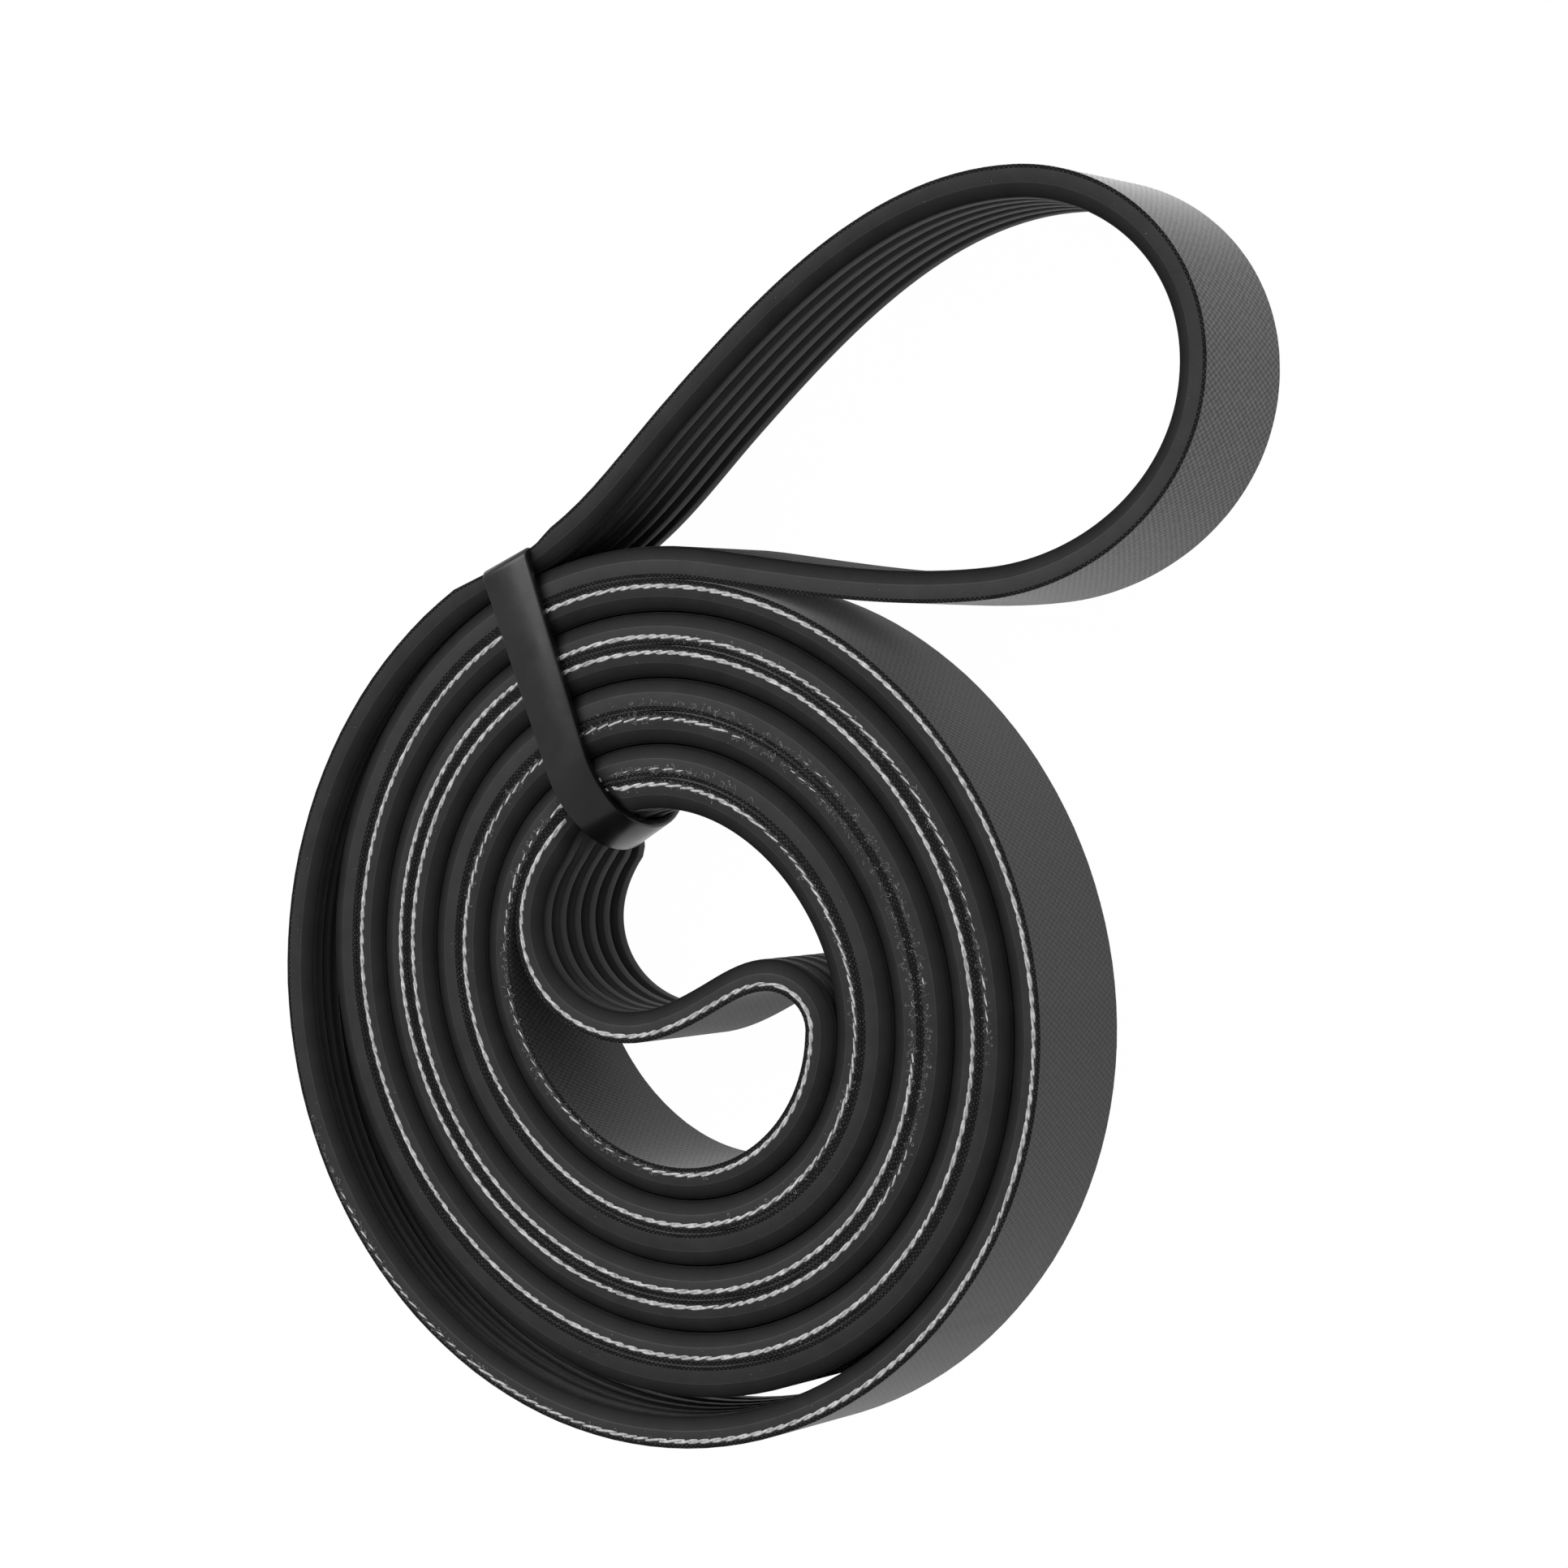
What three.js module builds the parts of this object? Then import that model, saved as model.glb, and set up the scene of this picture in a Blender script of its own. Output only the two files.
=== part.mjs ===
// Endless six-ribbed belt, wound two strands deep into a flat coil and held by a rubber tie band.
// Millimetres, coil axis +Z. The belt's ribs are always on the left of the path's heading.
import * as THREE from 'three';

// Belt section, d measured from the back of the belt towards the rib tips
const RIB_COUNT = 6;
const RIB_PITCH = 3.56;
const RIB_HEIGHT = 1.9;
const RIB_TIP_WIDTH = 2.0;
const BELT_THICKNESS = 4.2;
const FABRIC_THICKNESS = 0.5;
const CORD_SIZE = 0.9;
const CORD_BULGE = 0.15;

// Winding
const STRAND_GAP = 0.2;
const STEPS_PER_TURN = 26;
const TURNS = 4.077;
const START_ANGLE = 110;
const INNER_RADIUS = 25.4;
const OVAL = 1.7;
const OVAL_ANGLE = -54;
const LOOSE_BULGE = 5.0;
const LOOSE_SPAN = 212;
const LOWER_STRAND_LEAD = 27.7;
const RETURN_LEAD = 152.3;

// Tie band
const BAND_ANGLE = 108.5;
const BAND_SIDE_OFFSET = 2.95;
const BAND_WIDTH = 7.0;
const BAND_THICKNESS = 1.2;
const BAND_END_THICKNESS = 0.6;
const BAND_END_CORNER = 1.1;
const BAND_EYE_LEAD = 5;
const BAND_CLEARANCE = 0.2;

// The free loop, from the lower strand round to the outer turn. Each knot is a place in
// coil radii, in the frame whose x axis points at the start of the winding, and a heading
// in that frame; the last number is the count of steps that lead to it.
const LOOP_KNOTS = [
  { x: 0.49, y: -1.05, heading: -107, steps: 4 },
  { x: 0.75, y: -1.68, heading: -20, steps: 8 },
  { x: 1.27, y: -1.43, heading: 67, steps: 8 },
  { x: 1.16, y: -0.46, heading: 111, steps: 6 },
];
const LOOP_LAST_STEPS = 4;

// The bend in the middle, from the end of the winding back to its other strand, in inner
// radii and in the frame whose x axis points at the end of the winding.
const BEND_KNOTS = [
  { x: 0.91, y: 0.37, heading: 132, steps: 2 },
  { x: 0.03, y: 0.37, heading: 222, steps: 7 },
  { x: -0.24, y: -0.07, heading: 248, steps: 2 },
  { x: -0.43, y: -0.42, heading: 222, steps: 2 },
];
const BEND_LAST_STEPS = 6;

const BELT_WIDTH = RIB_COUNT * RIB_PITCH;
const CORD_DEPTH = FABRIC_THICKNESS + CORD_SIZE / 2;
const GROOVE_DEPTH = BELT_THICKNESS - RIB_HEIGHT;
const PAIR_PITCH = 2 * (BELT_THICKNESS + STRAND_GAP);
const STEP = 360 / STEPS_PER_TURN;
const LAST_STEP = TURNS * STEPS_PER_TURN;
const FIRST_RETURN_STEP = LAST_STEP - RETURN_LEAD / STEP;
const LAST_RETURN_STEP = -LOWER_STRAND_LEAD / STEP;
const LEAST_STEP = 0.3;
const HEADING_STEP = 0.05;
const BAND_CURVE_POINTS = 8;
const HALF_BAND = BAND_WIDTH / 2;
const COIL_RADIUS = INNER_RADIUS + PAIR_PITCH * LAST_STEP / STEPS_PER_TURN;

const rad = (degrees) => degrees * Math.PI / 180;
const polar = (radius, degrees) => new THREE.Vector2(
  radius * Math.cos(rad(degrees)), radius * Math.sin(rad(degrees)));

const stepAngle = (step) => START_ANGLE + step * STEP;

// The outer strand of each pair: a spiral, slightly oval, whose first turn hangs loose
function outerRadius(step, loose = true) {
  const turned = step * STEP;
  const spiral = COIL_RADIUS - PAIR_PITCH * turned / 360;
  const oval = OVAL * Math.cos(rad(2 * (stepAngle(step) - OVAL_ANGLE)));
  const hangs = loose && turned > 0 && turned < LOOSE_SPAN;
  return spiral + oval + (hangs ? LOOSE_BULGE * Math.sin(Math.PI * turned / LOOSE_SPAN) ** 2 : 0);
}

// The inner strand of each pair faces the outer one, rib tips to rib tips
function innerRadius(step) {
  return outerRadius(step, false) - 2 * (BELT_THICKNESS - CORD_DEPTH) - STRAND_GAP;
}

const outerPoint = (step) => polar(outerRadius(step), stepAngle(step));
const innerPoint = (step) => polar(innerRadius(step), stepAngle(step));

// A strand is straight between whole steps, so an end between two of them is on that chord
function chordPoint(pointAt, step) {
  const whole = Math.floor(step);
  return pointAt(whole).lerp(pointAt(whole + 1), step - whole);
}

// Whole steps between two ends, and the ends themselves, with no step shorter than LEAST_STEP
function stepsBetween(low, high) {
  const steps = [low];
  for (let step = Math.ceil(low + LEAST_STEP); step < high - LEAST_STEP; step += 1) {
    steps.push(step);
  }
  steps.push(high);
  return steps;
}

function heading(pointAt, step, direction) {
  const ahead = pointAt(step + HEADING_STEP * direction);
  return ahead.sub(pointAt(step - HEADING_STEP * direction)).normalize();
}

// Points after the start of a curve between two places with given headings
function link(from, fromHeading, to, toHeading, steps) {
  const chord = from.distanceTo(to);
  const turn = Math.acos(THREE.MathUtils.clamp(fromHeading.dot(toHeading), -1, 1));
  const reach = turn < 0.01 ? chord / 3
    : chord * (4 / 3) * Math.tan(turn / 4) / (2 * Math.sin(turn / 2));
  const curve = new THREE.CubicBezierCurve(
    from,
    from.clone().addScaledVector(fromHeading, reach),
    to.clone().addScaledVector(toHeading, -reach),
    to);
  return curve.getPoints(steps).slice(1);
}

function linkKnots(start, startHeading, knots, unit, frameAngle, end, endHeading, lastSteps) {
  const points = [];
  let from = start;
  let fromHeading = startHeading;
  for (const knot of knots) {
    const to = new THREE.Vector2(knot.x, knot.y).multiplyScalar(unit)
      .rotateAround(new THREE.Vector2(), rad(frameAngle));
    const toHeading = polar(1, knot.heading + frameAngle);
    points.push(...link(from, fromHeading, to, toHeading, knot.steps));
    from = to;
    fromHeading = toHeading;
  }
  points.push(...link(from, fromHeading, end, endHeading, lastSteps));
  return points.slice(0, -1);
}

// Stations of the belt: where the cord line is and which way the ribs point. On the coil
// they all lie on shared rays, so facets of neighbouring strands stay parallel.
function beltStations() {
  const stations = stepsBetween(0, LAST_STEP).map((step) => (
    { at: chordPoint(outerPoint, step), ribs: polar(-1, stepAngle(step)) }));
  const bend = linkKnots(
    chordPoint(outerPoint, LAST_STEP), heading(outerPoint, LAST_STEP, 1),
    BEND_KNOTS, INNER_RADIUS, stepAngle(LAST_STEP),
    chordPoint(innerPoint, FIRST_RETURN_STEP), heading(innerPoint, FIRST_RETURN_STEP, -1),
    BEND_LAST_STEPS);
  stations.push(...bend.map((at) => ({ at })));
  stations.push(...stepsBetween(LAST_RETURN_STEP, FIRST_RETURN_STEP).reverse().map((step) => (
    { at: chordPoint(innerPoint, step), ribs: polar(1, stepAngle(step)) })));
  const loop = linkKnots(
    chordPoint(innerPoint, LAST_RETURN_STEP), heading(innerPoint, LAST_RETURN_STEP, -1),
    LOOP_KNOTS, COIL_RADIUS, START_ANGLE,
    outerPoint(0), heading(outerPoint, 0, 1), LOOP_LAST_STEPS);
  stations.push(...loop.map((at) => ({ at })));
  const count = stations.length;
  stations.forEach((station, i) => {
    if (station.ribs) return;
    const before = stations[(i + count - 1) % count].at;
    const after = stations[(i + 1) % count].at;
    const along = after.clone().sub(before).normalize();
    station.ribs = new THREE.Vector2(-along.y, along.x);
  });
  return stations;
}

// Sweeps a closed section of [depth, height] points round the closed path
function sweep(stations, section) {
  const sides = section.length;
  const positions = [];
  for (const { at, ribs } of stations) {
    for (const [depth, height] of section) {
      const out = at.clone().addScaledVector(ribs, depth - CORD_DEPTH);
      positions.push(out.x, out.y, height);
    }
  }
  const index = [];
  for (let i = 0; i < stations.length; i += 1) {
    const next = (i + 1) % stations.length;
    for (let j = 0; j < sides; j += 1) {
      const k = (j + 1) % sides;
      const a = i * sides + j;
      const b = i * sides + k;
      const c = next * sides + k;
      const d = next * sides + j;
      index.push(a, b, c, a, c, d);
    }
  }
  const geometry = new THREE.BufferGeometry();
  geometry.setAttribute('position', new THREE.Float32BufferAttribute(positions, 3));
  geometry.setIndex(index);
  geometry.computeVertexNormals();
  return geometry;
}

// Sections run counter-clockwise with depth to the right and height up
function rubberSection() {
  const cordEnd = FABRIC_THICKNESS + CORD_SIZE;
  const points = [
    [FABRIC_THICKNESS, BELT_WIDTH - CORD_SIZE],
    [FABRIC_THICKNESS, 0],
    [GROOVE_DEPTH, 0],
  ];
  for (let rib = 0; rib < RIB_COUNT; rib += 1) {
    const middle = (rib + 0.5) * RIB_PITCH;
    points.push([BELT_THICKNESS, middle - RIB_TIP_WIDTH / 2]);
    points.push([BELT_THICKNESS, middle + RIB_TIP_WIDTH / 2]);
    points.push([GROOVE_DEPTH, (rib + 1) * RIB_PITCH]);
  }
  points.push([cordEnd, BELT_WIDTH]);
  points.push([cordEnd, BELT_WIDTH - CORD_SIZE]);
  return points;
}

function fabricSection() {
  return [
    [0, 0],
    [FABRIC_THICKNESS, 0],
    [FABRIC_THICKNESS, BELT_WIDTH],
    [0, BELT_WIDTH],
  ];
}

function cordSection() {
  const cordEnd = FABRIC_THICKNESS + CORD_SIZE;
  return [
    [FABRIC_THICKNESS, BELT_WIDTH - CORD_SIZE],
    [cordEnd, BELT_WIDTH - CORD_SIZE],
    [cordEnd, BELT_WIDTH],
    [CORD_DEPTH, BELT_WIDTH + CORD_BULGE],
    [FABRIC_THICKNESS, BELT_WIDTH],
  ];
}

// A closed line with three tight corners, and a long bend where it drops into the eye
function bandLine({ low, high, bottom, top, lead, drop, corner }) {
  const path = new THREE.Path();
  path.moveTo(low + corner, bottom);
  path.lineTo(high - corner, bottom);
  path.absarc(high - corner, bottom + corner, corner, -Math.PI / 2, 0);
  path.lineTo(high, top - corner);
  path.absarc(high - corner, top - corner, corner, 0, Math.PI / 2);
  path.lineTo(low + lead, top);
  path.absellipse(low + lead, top - drop, lead, drop, Math.PI / 2, Math.PI);
  path.lineTo(low, bottom + corner);
  path.absarc(low + corner, bottom + corner, corner, Math.PI, Math.PI * 1.5);
  return path.getPoints(BAND_CURVE_POINTS).slice(0, -1);
}

// Where the belt's two faces pass under the band: how far out, and how far to the band's side
function bandCrossings(stations, along, across) {
  const crossings = [];
  for (const depth of [0, BELT_THICKNESS]) {
    const edges = stations.map(({ at, ribs }) => at.clone().addScaledVector(ribs, depth - CORD_DEPTH));
    edges.forEach((start, i) => {
      const end = edges[(i + 1) % edges.length];
      const from = start.dot(across) - BAND_SIDE_OFFSET;
      const to = end.dot(across) - BAND_SIDE_OFFSET;
      if (Math.max(from, to) < -HALF_BAND || Math.min(from, to) > HALF_BAND) return;
      for (const side of [from, to].map((s) => THREE.MathUtils.clamp(s, -HALF_BAND, HALF_BAND))) {
        const share = (side - from) / (to - from || 1);
        crossings.push({ side, reach: THREE.MathUtils.lerp(start.dot(along), end.dot(along), share) });
      }
    });
  }
  return crossings.filter(({ reach }) => (
    reach > INNER_RADIUS / 2 && reach < COIL_RADIUS + BELT_THICKNESS));
}

// The line along the strands at one end of the band: its slope, and its reach at the middle
function bandEnd(crossings, furthest) {
  const reachAt = (edge) => furthest(
    ...crossings.filter(({ side }) => side === edge).map(({ reach }) => reach));
  const slope = (reachAt(HALF_BAND) - reachAt(-HALF_BAND)) / BAND_WIDTH;
  return { slope, reach: furthest(...crossings.map(({ side, reach }) => reach - slope * side)) };
}

// The band goes round every strand, a little to the side of the coil's middle
function bandGeometry(stations) {
  const along = polar(1, BAND_ANGLE);
  const across = polar(1, BAND_ANGLE + 90);
  const crossings = bandCrossings(stations, along, across);
  const eye = bandEnd(crossings, Math.min);
  const outside = bandEnd(crossings, Math.max);
  const inside = {
    low: eye.reach - BAND_CLEARANCE,
    high: outside.reach + BAND_CLEARANCE,
    bottom: -BAND_CLEARANCE,
    top: BELT_WIDTH + CORD_BULGE + BAND_CLEARANCE,
    lead: BAND_EYE_LEAD,
    drop: (RIB_PITCH - RIB_TIP_WIDTH) / 2 + CORD_BULGE + 2 * BAND_CLEARANCE,
    corner: 2 * BAND_CLEARANCE,
  };
  const ring = new THREE.Shape(bandLine({
    low: inside.low - BAND_THICKNESS,
    high: inside.high + BAND_END_THICKNESS,
    bottom: inside.bottom - BAND_THICKNESS,
    top: inside.top + BAND_THICKNESS,
    lead: inside.lead + BAND_THICKNESS,
    drop: inside.drop + BAND_THICKNESS,
    corner: BAND_END_CORNER,
  }));
  ring.holes.push(new THREE.Path(bandLine(inside)));
  const geometry = new THREE.ExtrudeGeometry(ring, { depth: BAND_WIDTH, bevelEnabled: false });
  geometry.translate(0, 0, -HALF_BAND);
  const corners = geometry.attributes.position;
  for (let i = 0; i < corners.count; i += 1) {
    const share = (corners.getX(i) - inside.low) / (inside.high - inside.low);
    const slope = THREE.MathUtils.lerp(eye.slope, outside.slope, share);
    corners.setX(i, corners.getX(i) - slope * corners.getZ(i));
  }
  geometry.translate(0, 0, -BAND_SIDE_OFFSET);
  const frame = new THREE.Matrix4().makeBasis(
    new THREE.Vector3(along.x, along.y, 0),
    new THREE.Vector3(0, 0, 1),
    new THREE.Vector3(-across.x, -across.y, 0));
  geometry.applyMatrix4(frame);
  return geometry;
}

function node(name, geometry, material) {
  const mesh = new THREE.Mesh(geometry, material);
  mesh.name = name;
  return mesh;
}

const rubber = new THREE.MeshStandardMaterial({ name: 'rubber', color: 0x26272a, roughness: 0.75 });
const fabric = new THREE.MeshStandardMaterial({ name: 'fabric', color: 0x3c3e42, roughness: 0.9 });
const cord = new THREE.MeshStandardMaterial({ name: 'cord', color: 0xd8d6d0, roughness: 0.85 });
const band = new THREE.MeshStandardMaterial({ name: 'band_rubber', color: 0x2e3034, roughness: 0.4 });

const stations = beltStations();
const part = new THREE.Group();
part.name = 'serpentine_belt';
part.add(node('ribbed_body', sweep(stations, rubberSection()), rubber));
part.add(node('backing_fabric', sweep(stations, fabricSection()), fabric));
part.add(node('tension_cord', sweep(stations, cordSection()), cord));
part.add(node('tie_band', bandGeometry(stations), band));

// The origin goes to the middle of the bottom of the whole part
part.updateMatrixWorld(true);
const box = new THREE.Box3().setFromObject(part);
const centre = box.getCenter(new THREE.Vector3());
for (const mesh of part.children) {
  mesh.geometry.translate(-centre.x, -centre.y, -box.min.z);
}

export default part;
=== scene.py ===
"""Six-rib serpentine belt, wound two strands deep and tied with a rubber band, on a pale table."""
import math

import bpy
from mathutils import Matrix, Vector


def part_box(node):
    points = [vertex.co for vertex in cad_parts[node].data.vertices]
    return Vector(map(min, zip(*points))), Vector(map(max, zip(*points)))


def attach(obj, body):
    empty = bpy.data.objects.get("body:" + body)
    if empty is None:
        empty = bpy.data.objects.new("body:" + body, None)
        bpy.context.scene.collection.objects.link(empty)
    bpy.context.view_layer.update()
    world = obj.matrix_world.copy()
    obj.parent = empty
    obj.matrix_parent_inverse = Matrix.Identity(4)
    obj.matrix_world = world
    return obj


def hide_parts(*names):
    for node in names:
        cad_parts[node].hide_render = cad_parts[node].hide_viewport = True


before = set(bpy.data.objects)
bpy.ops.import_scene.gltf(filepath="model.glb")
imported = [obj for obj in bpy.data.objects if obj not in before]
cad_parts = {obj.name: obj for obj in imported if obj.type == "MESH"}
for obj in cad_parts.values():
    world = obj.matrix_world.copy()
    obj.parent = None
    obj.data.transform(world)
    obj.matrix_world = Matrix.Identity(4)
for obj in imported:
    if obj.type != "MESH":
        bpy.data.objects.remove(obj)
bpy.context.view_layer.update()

MM = 0.001

# A hair's breadth in metres, within which a point counts as lying on a face or an edge
HAIR = 0.0001

# Belt section in mm, measured from the back of the belt towards its rib tips
RIB_COUNT = 6
RIB_PITCH = 3.56
RIB_HEIGHT = 1.9
RIB_TIP_WIDTH = 2.0
BELT_THICKNESS = 4.2
BACKING_THICKNESS = 0.5
CORD_SIZE = 0.9
CORD_BULGE = 0.15
CORD_PLIES = 3
CUT_EDGE_ROUND = 0.1
RIB_SHOULDER_ROUND = 0.42
GROOVE_ROUND_HEIGHT = 0.12
GROOVE_ROUND_WIDTH = 0.16
BACKING_EDGE_ROUND = 0.06
WARP_PITCH = 1.5
WEFT_PITCH = 0.85
CUT_THREAD_PITCH = 0.7

# Where painted shade darkens the ribs, in mm below the cut face, and where painted light makes the loop's
# backing paler, in mm along it
PAINTED_SHADE_RIM = 1.0
PAINTED_SHADE_RIM_FADE = 0.2
PALE_LEAD_IN = 30
PALE_LEAD_OUT = 50
PALE_STOP = 10

# Winding in mm and degrees, the same as the part's
STRAND_GAP = 0.2
STEPS_PER_TURN = 26
TURNS = 4.077
START_ANGLE = 110
INNER_RADIUS = 25.4
OVAL = 1.7
OVAL_ANGLE = -54
LOOSE_BULGE = 5.0
LOOSE_SPAN = 212
LOWER_STRAND_LEAD = 27.7
RETURN_LEAD = 152.3

# Tie band in mm and degrees; it bites into the strands where it goes round them
BAND_ANGLE = 108.5
BAND_SIDE_OFFSET = 4.0
BAND_EYE_WIDTH = 6.2
BAND_END_WIDTH = 7.8
BAND_THICKNESS = 1.2
BAND_CLEARANCE = 0.2
BAND_EDGE_ROUND = 0.25
BAND_CORNER = 0.9
BAND_EYE_LEAD = 11.0
BAND_EYE_DROP = 12.5
BAND_WIDE_STEPS = 24

# How deep the band's outer end bites, how far the strands lie under its face, and where they are free again
BAND_END_BITE = 0.75
BAND_END_SUNK = 0.15
BAND_EYE_BITE_REACH = 3.2
BAND_LOOP_BITE_REACH = 4.5
BAND_COIL_BITE_REACH = 7.0

# Knots of the free loop in coil radii, and of the middle bend in inner radii: x, y, heading, steps
LOOP_KNOTS = [
    (0.49, -1.05, -107, 4),
    (0.75, -1.68, -20, 8),
    (1.27, -1.43, 67, 8),
    (1.16, -0.46, 111, 6),
]
LOOP_LAST_STEPS = 4
BEND_KNOTS = [
    (0.91, 0.37, 132, 2),
    (0.03, 0.37, 222, 7),
    (-0.24, -0.07, 248, 2),
    (-0.43, -0.42, 222, 2),
]
BEND_LAST_STEPS = 6

# How much of the cord the cut shows, at steps of the winding: 0 hidden, 1 in the open
OUTER_EXPOSURE = [(0, 0), (6, 0), (7, 0.45), (9, 0.6), (12, 1), (68, 1), (69.5, 0.4), (71, 0.3), (72, 0.1),
                  (73.8, 0.35), (75.2, 0.6), (80, 0.6), (83, 1), (90, 1), (93, 0.75), (101, 0.7), (104, 1),
                  (106, 1)]
INNER_EXPOSURE = [(-2, 0), (17, 0), (17.5, 0.3), (18.5, 0.45), (20, 0.6), (22, 0.8), (26, 1), (40.5, 1),
                  (42, 0.4), (50, 0.3), (52, 0), (74, 0), (76, 0.45), (88, 0.5), (91, 1), (95, 1)]
LEAST_EXPOSURE = 0.02

# The path's points between two steps of the winding, and the fibres tried at each
FINER = 5
FUZZ_PER_POINT = 14

# The camera looks down on the belt as it lies on the table, from its right side
CAMERA_AZIMUTH = 31.43
CAMERA_ELEVATION = 0.16
CAMERA_ROLL = -1.82
CAMERA_LENS = 100.71
CAMERA_DISTANCE = 0.598
CAMERA_TARGET = (-0.00312, 0.00509, 0.0)

# Table and light
TABLE_HALF_SIZE = 3.0
TABLE_DROP = 0.0002
TABLE_GLOW = 1.02
TABLE_GLOW_SHARE = 0.97
SKY_STRENGTH = 0.6
WINDOW_PLACE = (-0.5, 0.6, 0.9)
WINDOW_SIZE = 0.8
WINDOW_WATTS = 7.5

BELT_WIDTH = RIB_COUNT * RIB_PITCH
CORD_DEPTH = BACKING_THICKNESS + CORD_SIZE / 2
GROOVE_DEPTH = BELT_THICKNESS - RIB_HEIGHT
PAIR_PITCH = 2 * (BELT_THICKNESS + STRAND_GAP)
STEP = 360 / STEPS_PER_TURN
LAST_STEP = round(TURNS * STEPS_PER_TURN)
FIRST_RETURN_STEP = LAST_STEP - round(RETURN_LEAD / STEP)
LAST_RETURN_STEP = -round(LOWER_STRAND_LEAD / STEP)
COIL_RADIUS = INNER_RADIUS + PAIR_PITCH * LAST_STEP / STEPS_PER_TURN


def polar(radius, degrees):
    """A point of the flat plane at a distance and a direction from the coil's centre."""
    return Vector((radius * math.cos(math.radians(degrees)), radius * math.sin(math.radians(degrees))))


def step_angle(step):
    return START_ANGLE + step * STEP


def outer_radius(step, loose=True):
    """How far from the centre the outer strand of a pair lies; the outermost turn hangs a little loose."""
    turned = step * STEP
    radius = COIL_RADIUS - PAIR_PITCH * turned / 360
    radius += OVAL * math.cos(math.radians(2 * (step_angle(step) - OVAL_ANGLE)))
    if loose and 0 < turned < LOOSE_SPAN:
        radius += LOOSE_BULGE * math.sin(math.pi * turned / LOOSE_SPAN) ** 2
    return radius


def inner_radius(step):
    """The inner strand lies with its ribs against the outer one's."""
    return outer_radius(step, False) - 2 * (BELT_THICKNESS - CORD_DEPTH) - STRAND_GAP


def outer_point(step):
    return polar(outer_radius(step), step_angle(step))


def inner_point(step):
    return polar(inner_radius(step), step_angle(step))


def heading(point_at, step, direction):
    """The direction in which a strand runs at a step, wound inwards (1) or outwards (-1)."""
    ahead = point_at(step + 0.05 * direction) - point_at(step - 0.05 * direction)
    return ahead.normalized()


def link(start, start_heading, end, end_heading, steps):
    """A smooth bend from one point and heading to another."""
    chord = (end - start).length
    turn = math.acos(max(-1, min(1, start_heading.dot(end_heading))))
    reach = chord / 3
    if turn > 0.01:
        reach = chord * (4 / 3) * math.tan(turn / 4) / (2 * math.sin(turn / 2))
    near_start = start + start_heading * reach
    near_end = end - end_heading * reach
    points = []
    for i in range(1, steps + 1):
        t = i / steps
        s = 1 - t
        points.append(s ** 3 * start + 3 * s * s * t * near_start + 3 * s * t * t * near_end + t ** 3 * end)
    return points


def link_knots(start, start_heading, knots, unit, frame_angle, end, end_heading, last_steps, finer):
    """Smooth bends from a point through all knots to another point, without that last point."""
    points = []
    cos, sin = math.cos(math.radians(frame_angle)), math.sin(math.radians(frame_angle))
    for x, y, knot_heading, steps in knots:
        knot = Vector((x * cos - y * sin, x * sin + y * cos)) * unit
        knot_heading = polar(1, knot_heading + frame_angle)
        points += link(start, start_heading, knot, knot_heading, steps * finer)
        start, start_heading = knot, knot_heading
    points += link(start, start_heading, end, end_heading, last_steps * finer)
    return points[:-1]


def cord_line(finer):
    """The closed line of the belt's cords: each point, its stretch's name, and its step of the winding."""
    points = [(outer_point(i / finer), "outer", i / finer) for i in range(0, LAST_STEP * finer + 1)]
    bend = link_knots(
        outer_point(LAST_STEP), heading(outer_point, LAST_STEP, 1),
        BEND_KNOTS, INNER_RADIUS, step_angle(LAST_STEP),
        inner_point(FIRST_RETURN_STEP), heading(inner_point, FIRST_RETURN_STEP, -1), BEND_LAST_STEPS, finer)
    points += [(p, "bend", LAST_STEP) for p in bend]
    points += [(inner_point(i / finer), "inner", i / finer)
               for i in range(FIRST_RETURN_STEP * finer, LAST_RETURN_STEP * finer - 1, -1)]
    loop = link_knots(
        inner_point(LAST_RETURN_STEP), heading(inner_point, LAST_RETURN_STEP, -1),
        LOOP_KNOTS, COIL_RADIUS, START_ANGLE,
        outer_point(0), heading(outer_point, 0, 1), LOOP_LAST_STEPS, finer)
    points += [(p, "loop", 0) for p in loop]
    return points


def rib_sides(points):
    """Unit vectors from each point of a closed line towards its left, where the ribs are."""
    sides = []
    for i, point in enumerate(points):
        along = (points[(i + 1) % len(points)] - points[i - 1]).normalized()
        sides.append(Vector((-along.y, along.x)))
    return sides


# The flat path is set in the part's frame by the box of the CAD backing
coarse = [p for p, _, _ in cord_line(1)]
coarse_backs = [p - side * CORD_DEPTH for p, side in zip(coarse, rib_sides(coarse))]
backs_x = [p.x for p in coarse_backs]
backs_y = [p.y for p in coarse_backs]
backing_low, backing_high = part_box("backing_fabric")
shift_x = (backing_low.x + backing_high.x - MM * (min(backs_x) + max(backs_x))) / 2
shift_y = (backing_low.y + backing_high.y - MM * (min(backs_y) + max(backs_y))) / 2
belt_base = backing_low.z
CUT_FACE = belt_base + BELT_WIDTH * MM


def place(point, height):
    """A point of the flat path, at a height above the belt's lower edge, both in mm, in the part's frame."""
    return Vector((point.x * MM + shift_x, point.y * MM + shift_y, belt_base + height * MM))


def new_object(name, data):
    thing = bpy.data.objects.new(name, data)
    bpy.context.scene.collection.objects.link(thing)
    return thing


def guide(name, points, closed=True, weights=None):
    """A thin line for Geometry Nodes to follow; each point's radius carries its weight."""
    data = bpy.data.curves.new(name, "CURVE")
    data.dimensions = "3D"
    spline = data.splines.new("POLY")
    spline.points.add(len(points) - 1)
    for i, (spot, point) in enumerate(zip(spline.points, points)):
        spot.co = (*point, 1)
        spot.radius = weights[i] if weights else 1
    spline.use_cyclic_u = closed
    return new_object(name, data)


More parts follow.
